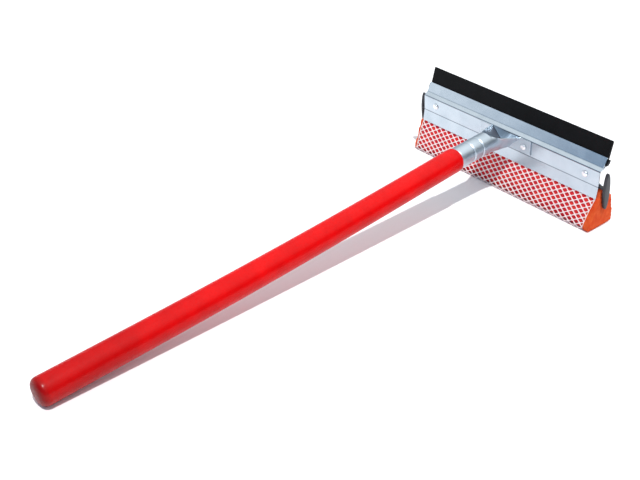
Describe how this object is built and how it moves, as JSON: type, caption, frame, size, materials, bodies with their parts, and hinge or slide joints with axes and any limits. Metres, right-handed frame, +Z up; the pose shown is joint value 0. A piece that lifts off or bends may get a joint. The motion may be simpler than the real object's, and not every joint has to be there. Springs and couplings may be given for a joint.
{
  "type": "window cleaning squeegee",
  "caption": "Hand squeegee with a straight rubber blade on one side, a netted sponge on the other and a round painted wooden handle.",
  "frame": {"origin": "centre of the flat face of the sponge, which rests on the table", "axes": "+X along the blade, +Y away from the handle, +Z up from the table the tool rests on"},
  "size_m": [0.2156, 0.5198, 0.086],
  "materials": {
    "painted_wood": "gloss red enamel on a turned hardwood dowel",
    "plated_steel": "bright zinc plate on pressed steel sheet",
    "rivet_metal": "bright domed rivet",
    "blade_rubber": "matt black rubber strip",
    "foam": "open cell foam, orange",
    "net": "white knitted diamond net",
    "cap_plastic": "dark grey moulded plastic"
  },
  "bodies": {
    "root": {"handle": "painted_wood", "socket_bracket": "plated_steel", "front_plate": "plated_steel", "back_plate": "plated_steel", "rubber_blade": "blade_rubber", "net_sleeve": "net", "sponge": "foam", "core_strip": "cap_plastic", "end_cap_left": "cap_plastic", "end_cap_right": "cap_plastic", "rivet_outer_left": "rivet_metal", "rivet_outer_right": "rivet_metal", "rivet_yoke_left": "rivet_metal", "rivet_yoke_right": "rivet_metal"}
  },
  "joints": []
}
